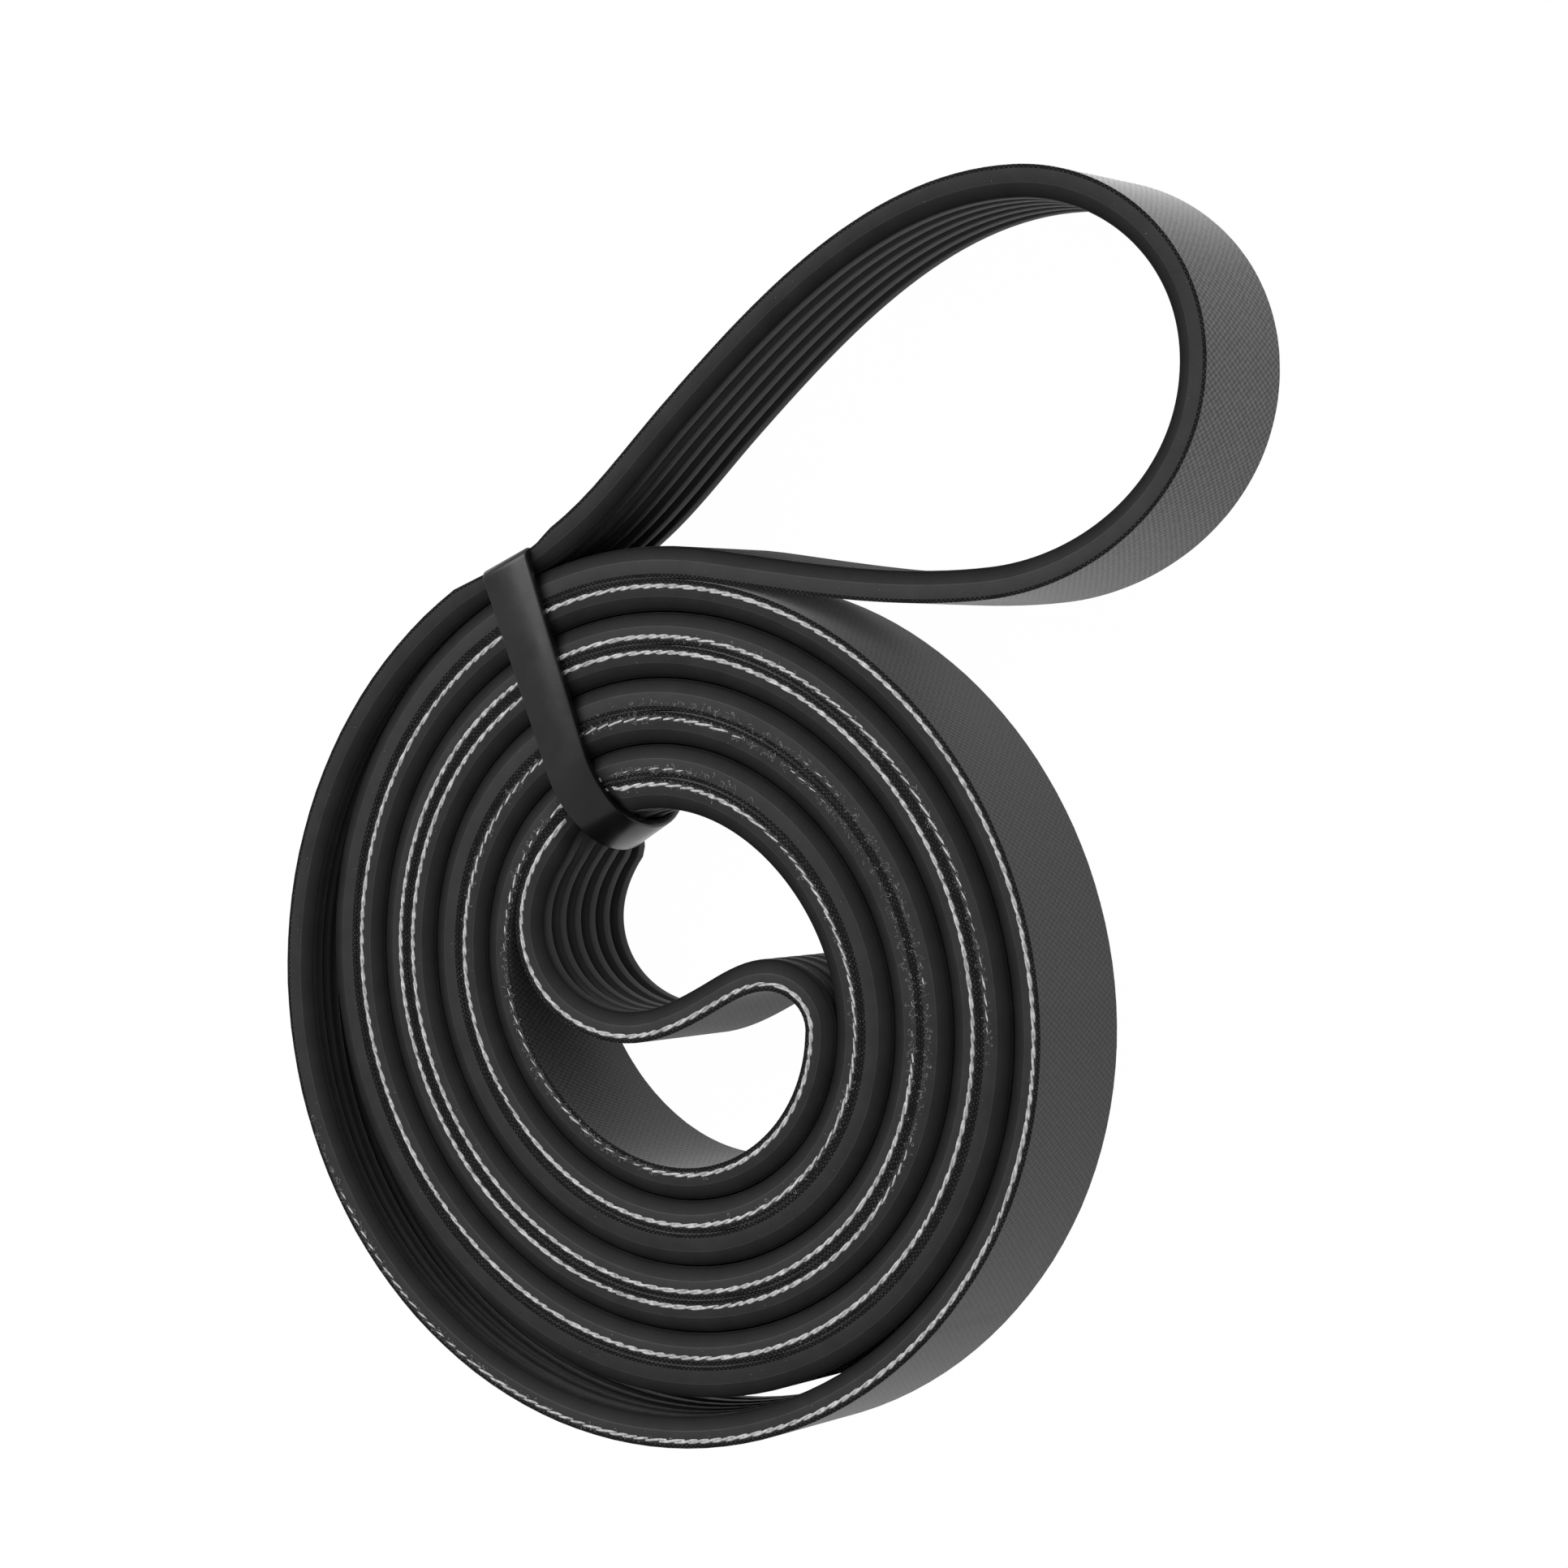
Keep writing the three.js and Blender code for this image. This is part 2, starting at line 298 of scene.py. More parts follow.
def section_guide(name, section):
    """A closed belt section of (depth, height) in mm, turned to the way Curve to Mesh reads a profile."""
    return guide(name, [Vector((-(d - CORD_DEPTH) * MM, -h * MM, 0)) for d, h in section])


class Nodes:
    """Adds nodes to a tree and joins them with few words."""

    def __init__(self, tree):
        self.tree = tree

    def set(self, socket, value):
        if isinstance(value, bpy.types.NodeSocket):
            self.tree.links.new(value, socket)
        else:
            socket.default_value = value

    def add(self, kind, inputs=None, **settings):
        node = self.tree.nodes.new(kind)
        for key, value in settings.items():
            setattr(node, key, value)
        for key, value in (inputs or {}).items():
            self.set(node.inputs[key], value)
        return node

    def math(self, operation, *values):
        node = self.add("ShaderNodeMath", operation=operation)
        for socket, value in zip(node.inputs, values):
            self.set(socket, value)
        return node.outputs[0]

    def vector(self, operation, *values):
        node = self.add("ShaderNodeVectorMath", operation=operation)
        for socket, value in zip(node.inputs, values):
            self.set(socket, value)
        return node.outputs[0]


def new_tree(name, inputs):
    tree = bpy.data.node_groups.new(name, "GeometryNodeTree")
    for label, kind, value in inputs:
        socket = tree.interface.new_socket(name=label, in_out="INPUT", socket_type=kind)
        if value is not None:
            socket.default_value = value
    tree.interface.new_socket(name="Geometry", in_out="OUTPUT", socket_type="NodeSocketGeometry")
    n = Nodes(tree)
    return n, n.add("NodeGroupInput").outputs, n.add("NodeGroupOutput").inputs[0]


def grow(name, tree, values):
    """Evaluates a tree with its named inputs set, and keeps the result as a plain mesh object."""
    host = new_object(name + "_host", bpy.data.meshes.new(name + "_host"))
    modifier = host.modifiers.new("grow", "NODES")
    modifier.node_group = tree
    identifiers = {s.name: s.identifier for s in tree.interface.items_tree if s.in_out == "INPUT"}
    for label, value in values.items():
        modifier[identifiers[label]] = value
    bpy.context.view_layer.update()
    evaluated = host.evaluated_get(bpy.context.evaluated_depsgraph_get())
    mesh = bpy.data.meshes.new_from_object(evaluated)
    mesh.name = name
    host.modifiers.clear()
    bpy.data.objects.remove(host)
    return new_object(name, mesh)


def finish_tree(n, geometry, given, result, sharp_degrees=38):
    """Smooth shading with sharp creases, real geometry and one material."""
    angle = n.add("GeometryNodeInputMeshEdgeAngle")
    sharp = n.math("GREATER_THAN", angle.outputs["Unsigned Angle"], math.radians(sharp_degrees))
    smooth = n.add("GeometryNodeSetShadeSmooth", {0: geometry, "Shade Smooth": True}, domain="FACE")
    creased = n.add("GeometryNodeSetShadeSmooth", {
        0: smooth.outputs[0], "Selection": sharp, "Shade Smooth": False}, domain="EDGE")
    real = n.add("GeometryNodeRealizeInstances", {0: creased.outputs[0]})
    finished = n.add("GeometryNodeSetMaterial", {"Geometry": real.outputs[0], "Material": given["Finish"]})
    n.tree.links.new(finished.outputs[0], result)
    return n.tree


def sweep_tree(name, upright):
    """Follows a closed path with a section; 'along' and 'section' say where each point is."""
    n, given, result = new_tree(name, [
        ("Path", "NodeSocketObject", None),
        ("Section", "NodeSocketObject", None),
        ("Finish", "NodeSocketMaterial", None),
        ("Ragged edge", "NodeSocketFloat", 0.0),
        ("Ragged pitch", "NodeSocketFloat", 0.001),
        ("Whole share", "NodeSocketFloat", 0.35),
    ])
    path = n.add("GeometryNodeObjectInfo", {"Object": given["Path"]})
    section = n.add("GeometryNodeObjectInfo", {"Object": given["Section"]})
    turned = n.add("GeometryNodeSetCurveNormal", {"Curve": path.outputs["Geometry"]},
                   mode="Z_UP" if upright else "MINIMUM_TWIST")
    spot = n.add("GeometryNodeSplineParameter")
    along = n.add("GeometryNodeStoreNamedAttribute", {
        "Geometry": turned.outputs[0], "Name": "along", "Value": spot.outputs["Length"]},
        data_type="FLOAT", domain="POINT")
    place_in = n.add("GeometryNodeInputPosition")
    marked = n.add("GeometryNodeStoreNamedAttribute", {
        "Geometry": section.outputs["Geometry"], "Name": "section", "Value": place_in.outputs[0]},
        data_type="FLOAT_VECTOR", domain="POINT")
    swept = n.add("GeometryNodeCurveToMesh", {"Curve": along.outputs[0], "Profile Curve": marked.outputs[0]})
    length = n.add("GeometryNodeInputNamedAttribute", {"Name": "along"}, data_type="FLOAT").outputs[0]
    across = n.add("GeometryNodeInputNamedAttribute", {"Name": "section"}, data_type="FLOAT_VECTOR")
    height = n.math("MULTIPLY", n.add("ShaderNodeSeparateXYZ", {0: across.outputs[0]}).outputs["Y"], -1)
    middle = BELT_WIDTH * MM / 2
    off_middle = n.math("SUBTRACT", height, middle)
    near_edge = n.math("GREATER_THAN", n.math("ABSOLUTE", off_middle), middle - HAIR)
    fray = n.add("ShaderNodeTexNoise", {"W": n.math("DIVIDE", length, given["Ragged pitch"]), "Scale": 1.0,
                                        "Detail": 2.0, "Roughness": 0.7}, noise_dimensions="1D")
    torn = n.math("SUBTRACT", fray.outputs[0], given["Whole share"])
    bite = n.math("MULTIPLY", torn, given["Ragged edge"])
    inward = n.math("MULTIPLY", n.math("MULTIPLY", bite, near_edge), n.math("SIGN", off_middle))
    moved = n.add("ShaderNodeCombineXYZ", {"Z": n.math("MULTIPLY", inward, -1)})
    ragged = n.add("GeometryNodeSetPosition", {"Geometry": swept.outputs[0], "Offset": moved.outputs[0]})
    return finish_tree(n, ragged.outputs[0], given, result)


def cord_tree():
    """One ply of the twisted cord: it winds round the path, and sinks where the path's weight falls."""
    n, given, result = new_tree("Cord ply", [
        ("Path", "NodeSocketObject", None),
        ("Finish", "NodeSocketMaterial", None),
        ("Turn at start", "NodeSocketFloat", 0.0),
        ("Lay length", "NodeSocketFloat", 0.0063),
        ("Ply radius", "NodeSocketFloat", 0.00018),
        ("Winding radius", "NodeSocketFloat", 0.00017),
        ("Point spacing", "NodeSocketFloat", 0.0003),
        ("Sunk depth", "NodeSocketFloat", 0.00047),
        ("Risen depth", "NodeSocketFloat", 0.00012),
        ("Wander", "NodeSocketFloat", 0.00022),
        ("Drifts per metre", "NodeSocketFloat", 90.0),
        ("Loose turn", "NodeSocketFloat", 3.0),
        ("Seed", "NodeSocketFloat", 1.0),
    ])
    path = n.add("GeometryNodeObjectInfo", {"Object": given["Path"]})
    fine = n.add("GeometryNodeResampleCurve", {
        "Curve": path.outputs["Geometry"], "Length": given["Point spacing"]}, mode="LENGTH")
    spot = n.add("GeometryNodeSplineParameter")
    length = spot.outputs["Length"]
    weight = n.add("GeometryNodeInputRadius").outputs[0]
    drifts = n.math("MULTIPLY", length, given["Drifts per metre"])
    drift = n.add("ShaderNodeTexNoise", {"W": n.math("ADD", drifts, given["Seed"]), "Scale": 1.0,
                                         "Detail": 1.0}, noise_dimensions="1D").outputs[0]
    rise = n.math("MULTIPLY", weight, n.math("SUBTRACT", given["Sunk depth"], given["Risen depth"]))
    depth = n.math("SUBTRACT", given["Sunk depth"], rise)
    wander = n.math("MULTIPLY", n.math("SUBTRACT", drift, 0.5), given["Wander"])
    turn = n.math("ADD", n.math("MULTIPLY", n.math("DIVIDE", length, given["Lay length"]), 2 * math.pi),
                  n.math("ADD", given["Turn at start"], n.math("MULTIPLY", drift, given["Loose turn"])))
    tangent = n.add("GeometryNodeInputTangent").outputs[0]
    side = n.vector("CROSS_PRODUCT", tangent, (0, 0, 1))
    sideways = n.add("ShaderNodeVectorMath", {0: side}, operation="SCALE")
    n.set(sideways.inputs["Scale"], n.math("MULTIPLY", n.math("COSINE", turn), given["Winding radius"]))
    upward = n.math("SUBTRACT", n.math("MULTIPLY", n.math("SINE", turn), given["Winding radius"]),
                    n.math("ADD", depth, wander))
    offset = n.vector("ADD", sideways.outputs[0], n.add("ShaderNodeCombineXYZ", {"Z": upward}).outputs[0])
    wound = n.add("GeometryNodeSetPosition", {"Geometry": fine.outputs[0], "Offset": offset})
    even = n.add("GeometryNodeSetCurveRadius", {"Curve": wound.outputs[0], "Radius": 1.0})
    ring = n.add("GeometryNodeCurvePrimitiveCircle", {"Resolution": 6, "Radius": given["Ply radius"]})
    ply = n.add("GeometryNodeCurveToMesh", {"Curve": even.outputs[0], "Profile Curve": ring.outputs[0],
                                            "Fill Caps": True})
    return finish_tree(n, ply.outputs[0], given, result, 80)


def random_vector(n, seed, further, low, high):
    """A random vector for each point; 'further' tells the draws of one seed apart."""
    node = n.add("FunctionNodeRandomValue", {"Seed": n.math("ADD", seed, further)}, data_type="FLOAT_VECTOR")
    node.inputs["Min"].default_value = low
    node.inputs["Max"].default_value = high
    return node.outputs[0]


def fuzz_tree():
    """Thin curled fibres that lie about the cord, most of them where the cut shows half of it."""
    n, given, result = new_tree("Fuzz", [
        ("Path", "NodeSocketObject", None),
        ("Finish", "NodeSocketMaterial", None),
        ("Count", "NodeSocketInt", 600),
        ("Share on whole cord", "NodeSocketFloat", 0.006),
        ("Share where half worn", "NodeSocketFloat", 0.6),
        ("Fibre length", "NodeSocketFloat", 0.0005),
        ("Fibre radius", "NodeSocketFloat", 0.000009),
        ("Spread", "NodeSocketFloat", 0.0005),
        ("Seed", "NodeSocketInt", 4),
    ])
    path = n.add("GeometryNodeObjectInfo", {"Object": given["Path"]})
    spots = n.add("GeometryNodeCurveToPoints", {"Curve": path.outputs["Geometry"], "Count": given["Count"]},
                  mode="COUNT")
    weight = n.add("GeometryNodeInputRadius").outputs[0]
    half_worn = n.math("MULTIPLY", n.math("MULTIPLY", weight, n.math("SUBTRACT", 1.0, weight)), 4.0)
    wear_and_painted_highlight = n.math("MULTIPLY", half_worn, given["Share where half worn"])
    chosen = n.add("FunctionNodeRandomValue", {"Seed": given["Seed"]}, data_type="BOOLEAN")
    n.set(chosen.inputs["Probability"], n.math("ADD", wear_and_painted_highlight, given["Share on whole cord"]))
    scatter = random_vector(n, given["Seed"], 1, (-0.5, -0.5, -0.05), (0.5, 0.5, 0.1))
    thrown = n.add("ShaderNodeVectorMath", {0: scatter}, operation="SCALE")
    n.set(thrown.inputs["Scale"], given["Spread"])
    strewn = n.add("GeometryNodeSetPosition", {"Geometry": spots.outputs[0], "Offset": thrown.outputs[0]})
    arc = n.add("GeometryNodeCurvePrimitiveBezierSegment", {
        "Resolution": 7, "Start": (0, 0, 0), "Start Handle": (0.7, -0.25, 0.12),
        "End Handle": (0.95, 0.75, 0.16), "End": (0.35, 0.6, 0.02)}, mode="POSITION")
    lengths = n.add("ShaderNodeCombineXYZ", {
        "X": given["Fibre length"], "Y": given["Fibre length"], "Z": given["Fibre length"]})
    curl = n.add("GeometryNodeTransform", {"Geometry": arc.outputs[0], "Scale": lengths.outputs[0]})
    ring = n.add("GeometryNodeCurvePrimitiveCircle", {"Resolution": 3, "Radius": given["Fibre radius"]})
    fibre = n.add("GeometryNodeCurveToMesh", {"Curve": curl.outputs[0], "Profile Curve": ring.outputs[0]})
    turn = random_vector(n, given["Seed"], 2, (-0.2, -0.15, 0), (0.2, 0.15, 2 * math.pi))
    size = random_vector(n, given["Seed"], 3, (0.4, 0.15, 0.6), (2.4, 1.3, 1.2))
    planted = n.add("GeometryNodeInstanceOnPoints", {
        "Points": strewn.outputs[0], "Selection": chosen.outputs[3], "Instance": fibre.outputs[0],
        "Rotation": turn, "Scale": size})
    return finish_tree(n, planted.outputs[0], given, result, 80)


def specks_tree():
    """Pale grains of dust and lint on the cut faces of the belt."""
    n, given, result = new_tree("Specks", [
        ("Body", "NodeSocketObject", None),
        ("Finish", "NodeSocketMaterial", None),
        ("Per square metre", "NodeSocketFloat", 90000.0),
        ("Grain size", "NodeSocketFloat", 0.00005),
        ("Seed", "NodeSocketInt", 7),
    ])
    body = n.add("GeometryNodeObjectInfo", {"Object": given["Body"]})
    normal = n.add("GeometryNodeInputNormal").outputs[0]
    spot = n.add("GeometryNodeInputPosition").outputs[0]
    upward = n.math("GREATER_THAN", n.add("ShaderNodeSeparateXYZ", {0: normal}).outputs["Z"], 0.9)
    high = n.math("GREATER_THAN", n.add("ShaderNodeSeparateXYZ", {0: spot}).outputs["Z"], CUT_FACE - HAIR)
    scattered = n.add("GeometryNodeDistributePointsOnFaces", {
        "Mesh": body.outputs["Geometry"], "Selection": n.math("MULTIPLY", upward, high),
        "Density": given["Per square metre"], "Seed": given["Seed"]})
    grain = n.add("GeometryNodeMeshIcoSphere", {"Radius": given["Grain size"], "Subdivisions": 1})
    turn = random_vector(n, given["Seed"], 0, (0, 0, 0), (2 * math.pi, 2 * math.pi, 2 * math.pi))
    size = random_vector(n, given["Seed"], 1, (0.3, 0.3, 0.2), (1.7, 1.0, 0.6))
    planted = n.add("GeometryNodeInstanceOnPoints", {
        "Points": scattered.outputs[0], "Instance": grain.outputs[0], "Rotation": turn, "Scale": size})
    return finish_tree(n, planted.outputs[0], given, result, 80)


def surface(name, **values):
    """A material whose principled shader has the given socket values, and its nodes."""
    material = bpy.data.materials.new(name)
    material.use_nodes = True
    n = Nodes(material.node_tree)
    shader = material.node_tree.nodes["Principled BSDF"]
    for key, value in values.items():
        n.set(shader.inputs[key.replace("_", " ")], value)
    return material, n, shader


def grey(level):
    """A neutral colour from its linear level."""
    return (level, level, level, 1)


def noise(n, coordinates, scale, detail=2.0, roughness=0.5):
    return n.add("ShaderNodeTexNoise", {"Vector": coordinates, "Scale": scale, "Detail": detail,
                                        "Roughness": roughness}).outputs[0]


def shades(n, factor, low, high, from_low=0.3, from_high=0.7):
    """A colour between two levels, as the factor goes through its range."""
    spread = n.add("ShaderNodeMapRange", {"Value": factor, "From Min": from_low, "From Max": from_high})
    mixed = n.add("ShaderNodeMix", {0: spread.outputs[0]}, data_type="RGBA")
    mixed.inputs[6].default_value = grey(low)
    mixed.inputs[7].default_value = grey(high)
    return mixed.outputs[2]


def bump(n, shader, height, distance, strength=1.0):
    node = n.add("ShaderNodeBump", {"Height": height, "Distance": distance, "Strength": strength})
    n.tree.links.new(node.outputs[0], shader.inputs["Normal"])


def section_place(n):
    """How far along the belt a point lies, and its depth and height in the belt's section."""
    length = n.add("ShaderNodeAttribute", attribute_name="along").outputs["Fac"]
    across = n.add("ShaderNodeAttribute", attribute_name="section").outputs["Vector"]
    parts = n.add("ShaderNodeSeparateXYZ", {0: across}).outputs
    depth = n.math("SUBTRACT", CORD_DEPTH * MM, parts["X"])
    return length, depth, n.math("MULTIPLY", parts["Y"], -1)


def ramp(n, value, low, high, to_low=0.0, to_high=1.0):
    """Goes from one value to another as its input goes from low to high."""
    return n.add("ShaderNodeMapRange", {"Value": value, "From Min": low, "From Max": high,
                                        "To Min": to_low, "To Max": to_high}).outputs[0]


def scaled(n, colour, factor):
    """A colour made darker or lighter by a factor."""
    node = n.add("ShaderNodeVectorMath", {0: colour}, operation="SCALE")
    n.set(node.inputs["Scale"], factor)
    return node.outputs[0]


def rubber_finish():
    """Ground rubber: dull, with painted shade down the outermost ribs' flanks below the cut face, and a thin
    painted highlight line where the cut ends.
    """
    material, n, shader = surface("ground_rubber", Roughness=0.6)
    spot = n.add("ShaderNodeTexCoord").outputs["Object"]
    _, depth, height = section_place(n)
    rim = BELT_WIDTH - PAINTED_SHADE_RIM
    # Painted shade: the outermost ribs darken down their flanks from the cut face, to about a third at the
    # tips, and their specular level darkens with them.
    outermost = ramp(n, height, rim * MM, (rim + PAINTED_SHADE_RIM_FADE) * MM)
    shade_past_cut = ramp(n, depth, GROOVE_DEPTH * MM, (GROOVE_DEPTH + 0.15) * MM, 0, 0.26)
    shade_down_flank = ramp(n, depth, (GROOVE_DEPTH + 0.3) * MM, (BELT_THICKNESS - 0.2) * MM, 0, 0.4)
    kept = n.math("SUBTRACT", 1.0, n.math("MULTIPLY", outermost, n.math("ADD", shade_past_cut, shade_down_flank)))
    # Painted highlight: a thin line, broken by noise, up to twice as light where the cut face meets the
    # flanks.
    off_edge = n.math("ABSOLUTE", n.math("SUBTRACT", depth, GROOVE_DEPTH * MM))
    edge = n.math("MULTIPLY", outermost, ramp(n, off_edge, 0, HAIR, 1, 0))
    wear_and_painted_highlight = n.math("MULTIPLY", edge, noise(n, spot, 600))
    level = n.math("MULTIPLY", kept, n.math("ADD", 1.0, wear_and_painted_highlight))
    cloud = noise(n, spot, 260, 4, 0.6)
    n.set(shader.inputs["Base Color"], scaled(n, shades(n, cloud, 0.013, 0.021), level))
    n.set(shader.inputs["Specular IOR Level"], n.math("MULTIPLY", level, 0.32))
    grain = n.math("ADD", noise(n, spot, 2600, 2), n.math("MULTIPLY", noise(n, spot, 700, 2), 0.8))
    bump(n, shader, grain, 0.00004, 0.6)
    return material


def backing_finish(loop_start, path_length):
    """Rubber-soaked weave with rows of dark hollows, made paler on the free loop by painted light; its cut
    edge has paler dots.
    """
    material, n, shader = surface("woven_backing", Roughness=0.6, Sheen_Roughness=0.3)
    length, depth, height = section_place(n)
    spot = n.add("ShaderNodeTexCoord").outputs["Object"]
    outer_face = ramp(n, depth, 0.00001, 0.00004, 1, 0)
    sway = n.math("MULTIPLY", noise(n, spot, 400, 2), 1.6)
    up = n.math("MULTIPLY", height, 2 * math.pi / (WARP_PITCH * MM))
    on = n.math("MULTIPLY", length, 2 * math.pi / (WEFT_PITCH * MM))
    rows = n.math("COSINE", n.math("ADD", up, sway))
    columns = n.math("COSINE", n.math("ADD", on, sway))
    hollows = n.math("MULTIPLY", n.math("MULTIPLY", rows, columns), -0.5)
    thread = n.math("ADD", hollows, noise(n, spot, 1500, 2))
    # Painted light: the weave is up to four times as light on the free loop, fading in over its first 30 mm
    # and out before its end, and its sheen weight rises there from 0.55 to 1.
    begun = ramp(n, length, loop_start, loop_start + PALE_LEAD_IN * MM)
    not_ended = ramp(n, length, path_length - PALE_LEAD_OUT * MM, path_length - PALE_STOP * MM, 1, 0)
    painted_light_on_loop = n.math("MULTIPLY", begun, not_ended)
    weave = scaled(n, shades(n, thread, 0.006, 0.043, 0.15, 0.95), ramp(n, painted_light_on_loop, 0, 1, 1.0, 4.0))
    ends = n.math("SINE", n.math("MULTIPLY", length, 2 * math.pi / (CUT_THREAD_PITCH * MM)))
    layers = n.math("SINE", n.math("MULTIPLY", depth, 2 * math.pi / (BACKING_THICKNESS * MM)))
    dots = n.math("MULTIPLY", n.math("MULTIPLY", ends, layers), noise(n, spot, 900, 2))
    cut_edge = shades(n, dots, 0.004, 0.07, 0.2, 0.55)
    mixed = n.add("ShaderNodeMix", {0: outer_face}, data_type="RGBA")
    n.set(mixed.inputs[6], cut_edge)
    n.set(mixed.inputs[7], weave)
    n.set(shader.inputs["Base Color"], mixed.outputs[2])
    n.set(shader.inputs["Sheen Weight"], n.math("MULTIPLY", outer_face, ramp(n, painted_light_on_loop, 0, 1, 0.55, 1)))
    n.set(shader.inputs["Specular IOR Level"], ramp(n, outer_face, 0, 1, 0.1, 0.5))
    bump(n, shader, thread, 0.00005, 0.7)
    return material


def cord_finish():
    """Matt white fibre, greyed in patches."""
    material, n, shader = surface("white_cord", Roughness=0.8, Specular_IOR_Level=0.2)
    spot = n.add("ShaderNodeTexCoord").outputs["Object"]
    n.set(shader.inputs["Base Color"], shades(n, noise(n, spot, 1500, 3), 0.3, 0.75))
    bump(n, shader, noise(n, spot, 6000, 2), 0.00003, 0.6)
    return material


def band_finish():
    """Smooth black rubber with a dull gloss that changes from place to place."""
    material, n, shader = surface("band_rubber", Specular_IOR_Level=0.4)
    spot = n.add("ShaderNodeTexCoord").outputs["Object"]
    n.set(shader.inputs["Base Color"], shades(n, noise(n, spot, 180, 3), 0.007, 0.013))
    n.set(shader.inputs["Roughness"], ramp(n, noise(n, spot, 300, 3), 0, 1, 0.14, 0.36))
    bump(n, shader, noise(n, spot, 420, 2), 0.00002, 0.5)
    return material


def rubber_section():
    """One closed line round the rubber of the belt, with rounded rib shoulders and groove bottoms."""
    cut = CUT_EDGE_ROUND
    line = [(BACKING_THICKNESS, 0.0), (GROOVE_DEPTH - cut, 0.0), (GROOVE_DEPTH, cut * 0.6)]
    for rib in range(RIB_COUNT):
        middle = (rib + 0.5) * RIB_PITCH
        half = [
            (BELT_THICKNESS - RIB_SHOULDER_ROUND, RIB_TIP_WIDTH / 2 + RIB_SHOULDER_ROUND * 0.34),
            (BELT_THICKNESS - RIB_SHOULDER_ROUND * 0.42, RIB_TIP_WIDTH / 2 - RIB_SHOULDER_ROUND * 0.05),
            (BELT_THICKNESS - RIB_SHOULDER_ROUND * 0.1, RIB_TIP_WIDTH / 2 - RIB_SHOULDER_ROUND * 0.5),
            (BELT_THICKNESS, RIB_TIP_WIDTH / 2 - RIB_SHOULDER_ROUND),
        ]
        line += [(depth, middle - off) for depth, off in half]
        line += [(depth, middle + off) for depth, off in reversed(half)]
        if rib < RIB_COUNT - 1:
            valley = (rib + 1) * RIB_PITCH
            line += [(GROOVE_DEPTH + GROOVE_ROUND_HEIGHT, valley - GROOVE_ROUND_WIDTH),
                     (GROOVE_DEPTH + GROOVE_ROUND_HEIGHT / 3, valley),
                     (GROOVE_DEPTH + GROOVE_ROUND_HEIGHT, valley + GROOVE_ROUND_WIDTH)]
    line += [(GROOVE_DEPTH, BELT_WIDTH - cut * 0.6), (GROOVE_DEPTH - cut, BELT_WIDTH),
             (BACKING_THICKNESS, BELT_WIDTH)]
    return line


def backing_section():
    """One closed line round the backing, whose outer edges are a little round."""
    edge = BACKING_EDGE_ROUND
    return [(0, edge), (edge, 0), (BACKING_THICKNESS, 0), (BACKING_THICKNESS, BELT_WIDTH),
            (edge, BELT_WIDTH), (0, BELT_WIDTH - edge)]


def between(knots, value):
    """Straight lines between (place, weight) knots."""
    knots = sorted(knots)
    for (low, first), (high, second) in zip(knots, knots[1:]):
        if low <= value <= high:
            return first + (second - first) * (value - low) / (high - low)
    return knots[0][1] if value < knots[0][0] else knots[-1][1]


def runs(points, weights):
    """The unbroken stretches of a closed line where the weight isn't nothing."""
    found, run = [], []
    for point, weight in zip(points, weights):
        if weight > LEAST_EXPOSURE:
            run.append((point, weight))
        elif run:
            found.append(run)
            run = []
    if run:
        found.append(run)
    return [run for run in found if len(run) > 3]


